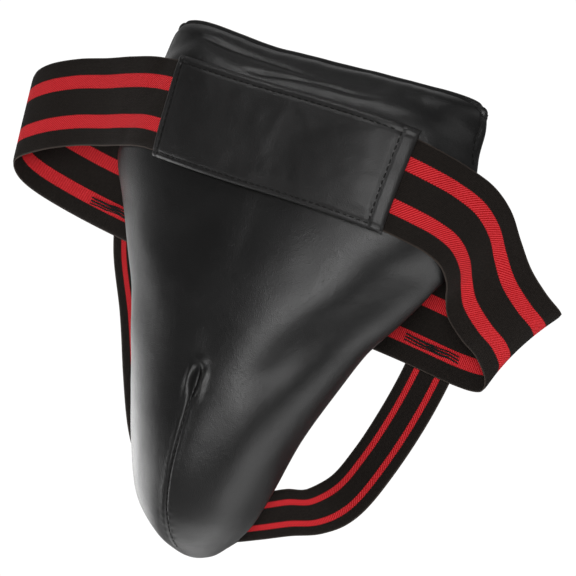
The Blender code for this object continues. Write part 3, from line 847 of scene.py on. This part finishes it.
def make_patch(tree):
    """Leather patch with turned edges, pulled down along its stitching over the band."""
    cols, rows = 141, 61
    spread = np.linspace(-1, 1, cols)
    heights = np.linspace(PATCH_HALF_HEIGHT, -PATCH_HALF_HEIGHT, rows)
    grid = np.zeros((rows, cols, 3))
    for i, h in enumerate(heights):
        for j, a in enumerate(spread):
            x, z = patch_plan(a, h)
            grid[i, j] = (x, front_of(tree, x, z, 2.0) or -40, z)
    grid[:, :, 1] = blur(blur(grid[:, :, 1], 6, 0), 6, 1)
    x, z = grid[:, :, 0], grid[:, :, 2]
    # Room for the band beneath; the upper and lower edges dip past it.
    within = ramp(np.abs(heights), 29.5, 26.0)[:, None]
    lift = 5.2 - 1.2 * (1 - within) + 1.4 * ramp(spread, 0.2, 1.0)[None, :]
    side = (1 - np.abs(spread)[None, :]) * PATCH_HALF_FOOT + 0 * x
    top = (PATCH_HALF_HEIGHT - heights)[:, None] + 0 * x
    foot = (PATCH_HALF_HEIGHT + heights)[:, None] + 0 * x
    right = (1 - spread)[None, :] * PATCH_MEAN_HALF + 0 * x
    left = (1 + spread)[None, :] * PATCH_MEAN_HALF + 0 * x
    lines = [(top, SEAM_TOP, 0.4), (foot, SEAM_FOOT, 0.4), (right, SEAM_RIGHT, 0.1),
             (left, SEAM_LEFT, 0.35)]
    for distance, inset, roll in lines:
        lift = lift - 0.75 * bump(distance, inset, 0.9)
        lift = lift + roll * bump(distance, inset * 0.45, inset * 0.42)
        lift = lift - 0.7 * bump(distance, 0, 0.6)
    calm = ramp(np.minimum(np.minimum(top, foot), side), 3, 12)
    lift = lift + calm * (0.55 + 0.35 * noise_at(grid, 26.0, 1.9) + 0.12 * noise_at(grid, 9.0))
    # Slack leather dents beside the corners of the upper edge.
    lift = lift - 0.6 * np.exp(-((x + 58) / 5) ** 2 - ((z - 20) / 2.6) ** 2)
    grid[:, :, 1] -= lift
    pins = np.zeros((rows, cols))
    for distance, inset, _ in lines:
        pins[np.abs(distance - inset) < 0.8] = 1
        pins[distance < 0.6] = 1
    moved = relax(grid, pins, 2.0, -0.02, 0.7)
    grid = grid + 0.45 * blur(blur(moved, 6, 0), 6, 1)
    obj = slab("patch_leather", grid, grid + np.array((0, LEATHER * 0.8, 0)), PATCH_BLACK, 0.0)
    soften(obj, 0.4)
    return obj, grid


# --- build --------------------------------------------------------------------------------
LEATHER_BLACK = leather("guard_leather", (0.0060, 0.0058, 0.0058), 0.35)
PATCH_BLACK = leather("patch_leather", (0.0085, 0.0080, 0.0080), 0.43, 1.1)
TAB_BLACK = leather("tab_leather", (0.012, 0.012, 0.012), 0.5)
THREAD = thread_material()
ELASTIC_BLACK, ELASTIC_RED = (0.0160, 0.0125, 0.0105), (0.60, 0.008, 0.011)
WAIST_WEAVE = elastic("waist_elastic", WAIST_WIDTH, 12.0, 4.25, ELASTIC_BLACK,
                      ELASTIC_RED)
LEG_WEAVE = elastic("leg_elastic", LEG_WIDTH, 6.4, 1.9, ELASTIC_BLACK,
                    ELASTIC_RED)
LINING_CLOTH = cloth_material("lining_cloth", (0.010, 0.010, 0.011), (0.036, 0.036, 0.040))
FOAM_GREY = foam_material("dark_foam", (0.09, 0.09, 0.095))
SHELL_BLACK = plastic_material("shell_plastic", (0.05, 0.05, 0.052))


def place(obj, body, node, slot):
    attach(obj, body)
    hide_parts(node)


def build_cover():
    skin, front, down, from_rim = make_cover()
    inner = skin - grid_normals(skin) * COVER_SKIN
    obj = slab("guard_cover", skin, inner, LEATHER_BLACK)
    place(obj, "guard", "cup_cover", "cover_leather")
    return front, down, from_rim


def build_straps(tree):
    count = (len(BAND) - 1) * 16 + 1
    band, length = strap("waistband_elastic", BAND, count, WAIST_WIDTH, WAIST_THICK,
                         WAIST_WEAVE, 30, tree)
    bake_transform(band)
    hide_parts("waistband_end_right", "waistband_end_left", "waistband_loop")
    for name, rows in (("leg_strap_right", LEG_RIGHT), ("leg_strap_left", LEG_LEFT)):
        leg, length = strap(name + "_elastic", rows, 12 * (len(rows) - 1) + 1, LEG_WIDTH,
                            LEG_THICK, LEG_WEAVE, 18, wave=0.2)
        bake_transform(leg)
        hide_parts(name)


def surface_stitch(grid, spots, lift):
    """Points just off a grid at (row, column) spots given as fractions."""
    normals = grid_normals(grid)
    rows, cols = grid.shape[:2]
    points = []
    for r, c in spots:
        i, j = min(int(r), rows - 2), min(int(c), cols - 2)
        u, v = r - i, c - j
        point, normal = ((g[i, j] * (1 - v) + g[i, j + 1] * v) * (1 - u)
                         + (g[i + 1, j] * (1 - v) + g[i + 1, j + 1] * v) * u
                         for g in (grid, normals))
        points.append(point + unit(normal) * lift)
    return np.array(points)


def outward_of(grid):
    """Function that gives the forward-facing normal of a grid's surface near a point."""
    tree = tree_of(grid)
    guide = Vector((0, -1, 0))

    def outwards(point):
        normal = tree.find_nearest(Vector(point))[1]
        if normal.dot(guide) < 0:
            normal = -normal
        return np.array(normal)
    return outwards


def build_patch(tree):
    obj, grid = make_patch(tree)
    place(obj, "guard", "belt_patch", "patch_leather")
    rows, cols = grid.shape[:2]
    out = outward_of(grid)

    def at(a, h):
        r = (PATCH_HALF_HEIGHT - h) / (2 * PATCH_HALF_HEIGHT) * (rows - 1)
        c = (a + 1) / 2 * (cols - 1)
        return (r, c)
    top, foot = PATCH_HALF_HEIGHT - SEAM_TOP, -PATCH_HALF_HEIGHT + SEAM_FOOT
    right, left = 1 - SEAM_RIGHT / PATCH_MEAN_HALF, -1 + SEAM_LEFT / PATCH_MEAN_HALF
    runs = []
    for ends in (((left, top), (right, top)), ((right, top), (right, foot)),
                 ((right, foot), (left, foot)), ((left, foot), (left, top))):
        (a0, h0), (a1, h1) = ends
        spots = [at(a0 + (a1 - a0) * t, h0 + (h1 - h0) * t) for t in np.linspace(0, 1, 60)]
        runs.append(surface_stitch(grid, spots, 0.1))
    seam = stitches("patch_stitches", runs, out, pitch=4.0, radius=0.36, dip=0.5)
    place(seam, "guard", "patch_stitching", "thread")


def build_cover_stitches(front, down, from_rim):
    """The stitching up the dart and the line along the strip's hem."""
    centre = front.shape[1] // 2
    column = front[:, centre]
    on = (column[:, 2] < DART_TOP - 13) & (column[:, 2] > -234)
    line = column[on]
    out = outward_of(front)
    dart = stitches("dart_stitches", [line], out, pitch=3.4, radius=0.34, dip=0.9)
    place(dart, "guard", "centre_seam_thread", "thread")
    rows, cols = front.shape[:2]

    def edge_spot(row, side):
        order = np.argsort(from_rim[row] + (side * front[row, :, 0] < 0) * 1e6)
        return (row, float(order[np.argmin(np.abs(from_rim[row][order[:40]] - HEM_INSET))]))
    sides = {}
    for side in (-1, 1):
        sides[side] = [edge_spot(i, side) for i in range(rows)
                       if front[i, centre, 2] > 20 and down[i, centre] > HEM_INSET]
    left = surface_stitch(front, sides[-1][::-1], 0.15)
    right = surface_stitch(front, sides[1], 0.15)
    top = [(int(np.argmin(np.abs(down[:, j] - HEM_INSET))), j) for j in range(cols)
           if from_rim[2, j] >= HEM_INSET]
    hem = surface_stitch(front, top, 0.15)
    seam = stitches("hem_stitches", [left, hem, right], out, pitch=3.8, radius=0.33, dip=0.5)
    place(seam, "guard", "panel_edge_stitching", "thread")


def build_rim_stitches():
    rows, inward, rolls = guard_rows(0.0, 400)
    runs = []
    for side in (-1, 1):
        edge = turned_edge(rows, inward, rolls, -0.15, np.array([118.0]), side)[:, 0]
        keep = np.linspace(0, 1, 400) > 0.36
        runs.append(edge[keep])
    seam = stitches("rim_stitches", runs, lambda point: (0, 1, 0), pitch=4.0, radius=0.36,
                    dip=0.5)
    place(seam, "guard", "rim_stitching", "thread")


def cup_layer(inset, count, shares):
    """Grid of one layer of the cup, from where the cup begins to the tip."""
    begin = int(round(CUP_START * (count - 1)))
    return guard_surface(inset, count, shares)[0][begin:]


def build_foam(front):
    """Shock foam of the cup: its outer face follows the cover's inner face."""
    shares = cover_shares()
    inner = cup_layer(FOAM_INSET + FOAM, COVER_ROWS, shares)
    outer = (front - grid_normals(front) * (FOAM_INSET + 0.1))[-len(inner):]
    outer[-6:] = cup_layer(FOAM_INSET, COVER_ROWS, shares)[-6:]
    outer, inner = outer[::2, ::3], inner[::2, ::3]
    outer[-1, :, 0] = inner[-1, :, 0] = 0
    obj = slab("shock_foam_layer", outer, inner, FOAM_GREY, 0.02)
    place(obj, "guard", "shock_foam", "foam")


def build_shell():
    """Rigid shell of the cup."""
    count, spread = 120, np.linspace(-1, 1, 73)
    outer = cup_layer(SHELL_INSET, count, spread)
    inner = cup_layer(SHELL_INSET + SHELL, count, spread)
    outer[-1, :, 0] = inner[-1, :, 0] = 0
    obj = slab("cup_shell_moulding", outer, inner, SHELL_BLACK, 0.02)
    place(obj, "guard", "cup_shell", "shell_plastic")


def build_lining():
    """Lining of the hollow: quilted cloth, thickest between its seams."""
    count, spread = 150, np.linspace(-1, 1, 97)
    outer = cup_layer(LINING_INSET, count, spread)
    inner = cup_layer(LINING_INSET + LINING, count, spread)
    normals = grid_normals(inner)
    x, z = inner[:, :, 0], inner[:, :, 2]
    lift = 0.25 * noise_at(inner, 18.0, 2.0) - 0.9 * bump(x, 0, 1.1) * ramp(z, -45, -60)
    fade = ramp(np.arange(len(inner)), len(inner) - 1, len(inner) - 12)[:, None]
    inner = inner - normals * (lift * fade)[:, :, None]
    outer[-1, :, 0] = inner[-1, :, 0] = 0
    obj = slab("cup_lining_cloth", outer, inner, LINING_CLOTH, 0.02)
    place(obj, "guard", "cup_lining", "lining_cloth")


def build_rim_pad():
    rows, inward, rolls = guard_rows(FOAM_INSET, 200)
    keep = np.linspace(0, 1, 200) > 12 / 33
    rows, inward, rolls = rows[keep], inward[keep], rolls[keep]
    sweep = np.linspace(0, 165, 14)
    rings = []
    for side in (-1, 1):
        edge = turned_edge(rows, inward, rolls, FOAM_INSET, sweep, side)
        rings.append(edge if side < 0 else edge[::-1][1:])
    ring = np.concatenate(rings)
    sides = ring.shape[1]
    verts = ring.reshape(-1, 3)
    faces = grid_faces(len(ring), sides, 0, wrap=True)
    faces.append(tuple(range(sides))[::-1])
    faces.append(tuple(range(len(verts) - sides, len(verts))))
    obj = mesh_object("rim_foam", verts, faces, FOAM_GREY)
    place(obj, "guard", "rim_pad", "foam")


def build_belly(cover):
    """Foam of the strip and the cloth panel on its body side, crowned and folded under."""
    under = cover - grid_normals(cover) * (FOAM_INSET + 0.4)
    front = under[11:int(0.235 * COVER_ROWS):2, 12:-12:3]
    back = front.copy()
    limit = np.abs(front[:, -1:, 0]) - 13
    back[:, :, 0] = np.clip(front[:, :, 0], -limit, limit)
    back[:, :, 1] = -LEATHER - GAP
    back[:, (0, -1), 1] = front[:, (0, -1), 1] + 0.2
    foam = slab("belly_foam", front, back, FOAM_GREY, 0.02)
    place(foam, "guard", "belly_pad_foam", "foam")
    # Body-side panel: down from the hem, then forwards over the hollow's top.
    high, low = PANEL_TOP - 0.5, CUP_CEILING
    path = [(-1.2, high, 87.2), (0.2, high - 3, 88.8)]
    path += [(0.6, z, 88.8 + (high - z) * 0.15) for z in np.linspace(high - 9, low + 6, 9)]
    path += [(0.2, low + 2, 97.0), (-1.2, low - 0.6, 96.5), (-6, low - 1.2, 95), (-14, low - 1.2, 91),
             (-22, low - 1.2, 87), (-30, low - 1.2, 79), (-36, low - 1.2, 66)]
    lines = spline(path, 90)
    cols = np.linspace(-1, 1, 101)
    skin = np.zeros((len(lines), len(cols), 3))
    for i, (y, z, half) in enumerate(lines):
        tuck = -2.4 * np.abs(cols) ** 6 if z > low + 1 else 0.0
        skin[i] = np.stack([cols * half, y + tuck + 0 * cols, z + 0 * cols], 1)
    crown = 0.45 * noise_at(skin, 22.0, 4.0) + 0.5 * (1 - cols[None, :] ** 2)
    skin[:, :, 1] += ramp(skin[:, :, 2], low, low + 8) * crown
    skin = lean(skin)
    normals = grid_normals(skin)
    normals = normals * np.sign(normals[:, :, 1].sum())
    panel = slab("belly_panel_cloth", skin, skin - normals * PANEL_CLOTH, LINING_CLOTH, 0.0)
    place(panel, "guard", "belly_panel", "lining_cloth")


def build_tab():
    """Leather tab behind the tip, curved onto the padded rim, that the leg straps are sewn to."""
    rows, cols = 31, 41
    grid = np.zeros((rows, cols, 3))
    for i, z in enumerate(np.linspace(-196, -233.5, rows)):
        half = np.interp(z, [-233.5, -228, -222, -200, -196], [10, 18, 24, 32, 30])
        lower = 13.2 - 0.25 * (z + 229.0) + LEATHER - 3.4 * ramp(-z, 226, 233)
        for j, a in enumerate(np.linspace(-1, 1, cols)):
            grid[i, j] = (a * half, lower + 0.5 - 5.0 * abs(a) ** 3, z)
    grid[:, :, 1] += 0.25 * noise_at(grid, 9.0)
    obj = slab("anchor_tab_leather", grid, grid - np.array((0, LEATHER, 0)), TAB_BLACK, 0.0)
    soften(obj, 0.5)
    place(obj, "guard", "strap_anchor_tab", "cover_leather")


def build_tacks():
    tack = bar_tack("anchor_tack_thread", (0, 13.2, -214), (1, 0, 0), (0, -0.24, 0.97),
                    (0, 1, 0), 30, 16, 34)
    place(tack, "guard", "anchor_tack", "thread")
    tack = bar_tack("right_leg_tack_thread", (91, 39.7, -86.9), (0, -0.1, 1),
                    (0.966, 0.209, -0.149), (0, -1, 0), 4.5, 34, 5)
    place(tack, "waistband", "leg_tack_right", "thread")
    tack = bar_tack("left_leg_tack_thread", (-120, 31.3, -62.4), (0, -0.1, 1),
                    (0.99, -0.046, -0.136), (0, -1, 0), 4.5, 38, 5)
    place(tack, "waistband", "leg_tack_left", "thread")


# --- studio -------------------------------------------------------------------------------
def view_axes():
    """Directions towards the camera, to its right and to its top, with its roll."""
    back = Vector((sin(AZIMUTH), -cos(AZIMUTH), 0))
    level = Vector((cos(AZIMUTH), sin(AZIMUTH), 0))
    up = Vector((0, 0, 1))
    right = level * cos(ROLL) + up * sin(ROLL)
    return back, right, up * cos(ROLL) - level * sin(ROLL)


def area_light(name, location, target, size, power):
    data = bpy.data.lights.new(name, "AREA")
    data.shape = "RECTANGLE"
    data.size, data.size_y = size
    data.energy = power
    data.spread = radians(160)
    obj = bpy.data.objects.new(name, data)
    obj.location = location
    obj.rotation_euler = (Vector(target) - Vector(location)).to_track_quat("-Z", "Y").to_euler()
    obj.visible_camera = False
    bpy.context.scene.collection.objects.link(obj)


def studio():
    world = bpy.data.worlds.new("studio")
    bpy.context.scene.world = world
    world.use_nodes = True
    nodes, links = world.node_tree.nodes, world.node_tree.links
    glow = nodes["Background"]
    glow.inputs["Color"].default_value = (1, 1, 1, 1)
    # A light wall stands behind the guard to the left and a dimmer one straight behind.
    b, right, top = view_axes()
    wall = (-0.72 * right - 0.28 * top - 0.63 * b).normalized()
    total = None
    for towards, low, high, strength in ((wall, 0.65, 0.98, 0.8), (-b, 0.45, 1.0, 0.45)):
        facing = nodes.new("ShaderNodeVectorMath")
        facing.operation = "DOT_PRODUCT"
        facing.inputs[1].default_value = towards
        links.new(nodes.new("ShaderNodeTexCoord").outputs["Generated"], facing.inputs[0])
        fall = nodes.new("ShaderNodeMapRange")
        fall.interpolation_type = "SMOOTHSTEP"
        fall.inputs["From Min"].default_value = low
        fall.inputs["From Max"].default_value = high
        fall.inputs["To Min"].default_value = 0.055
        fall.inputs["To Max"].default_value = strength
        links.new(facing.outputs["Value"], fall.inputs["Value"])
        if total is None:
            total = fall.outputs["Result"]
        else:
            both = nodes.new("ShaderNodeMath")
            links.new(total, both.inputs[0])
            links.new(fall.outputs["Result"], both.inputs[1])
            total = both.outputs[0]
    links.new(total, glow.inputs["Strength"])
    white = nodes.new("ShaderNodeBackground")
    white.inputs["Color"].default_value = (1, 1, 1, 1)
    white.inputs["Strength"].default_value = 1.05
    path = nodes.new("ShaderNodeLightPath")
    mix = nodes.new("ShaderNodeMixShader")
    links.new(path.outputs["Is Camera Ray"], mix.inputs["Fac"])
    links.new(glow.outputs["Background"], mix.inputs[1])
    links.new(white.outputs["Background"], mix.inputs[2])
    links.new(mix.outputs["Shader"], nodes["World Output"].inputs["Surface"])
    target = Vector((0, -0.03, -0.09))
    area_light("front_box", target + b * 1.5 - right * 0.05 + top * 0.12, target, (0.5, 0.8), 9.5)
    area_light("left_box", target - right * 0.42 - top * 0.18 - b * 0.25,
               target - top * 0.14 - b * 0.1, (0.7, 0.33), 1.9)
    area_light("top_box", target + top * 1.1 + b * 0.3 - right * 0.1, target, (0.35, 0.25), 1.9)
    area_light("right_box", target + right * 1.1 + top * 0.6 + b * 0.4, target, (0.8, 0.8), 1.0)
    area_light("low_right_box", target + right * 0.5 - top * 0.6 + b * 0.2, target,
               (0.5, 0.5), 1.4)
    area_light("foot_box", target - top * 0.6 - b * 0.22, target, (0.6, 0.36), 0.8)


def camera():
    data = bpy.data.cameras.new("camera")
    data.sensor_width = 36
    data.lens = LENS
    data.clip_start, data.clip_end = 0.05, 50
    obj = bpy.data.objects.new("camera", data)
    b, right, top = view_axes()
    axes = Matrix((right, top, b)).transposed().to_4x4()
    axes.translation = AIM + b * DISTANCE
    obj.matrix_world = axes
    bpy.context.scene.collection.objects.link(obj)
    bpy.context.scene.camera = obj


def floor():
    """Plain pale floor well below the guard, which hangs on its wearer in use."""
    bm = bmesh.new()
    bmesh.ops.create_circle(bm, cap_ends=True, segments=96, radius=1.8)
    mesh = bpy.data.meshes.new("floor")
    bm.to_mesh(mesh)
    bm.free()
    s = Shader("pale_floor")
    s.bsdf.inputs["Base Color"].default_value = (0.9, 0.9, 0.9, 1)
    s.bsdf.inputs["Roughness"].default_value = 0.9
    s.bsdf.inputs["Emission Color"].default_value = (1, 1, 1, 1)
    lit = s.add("ShaderNodeLightPath").outputs["Is Camera Ray"]
    s.set(Emission_Strength=s.math("MULTIPLY", lit, 0.72))
    mesh.materials.append(s.mat)
    obj = bpy.data.objects.new("floor", mesh)
    obj.location = (0, 0, -0.95)
    bpy.context.scene.collection.objects.link(obj)


def build():
    bpy.context.scene.view_settings.view_transform = "Standard"
    camera()
    studio()
    floor()
    front, down, from_rim = build_cover()
    tree = tree_of(front)
    build_straps(tree)
    build_patch(tree)
    build_cover_stitches(front, down, from_rim)
    build_rim_stitches()
    build_foam(front)
    build_shell()
    build_lining()
    build_rim_pad()
    build_belly(front)
    build_tab()
    build_tacks()


build()
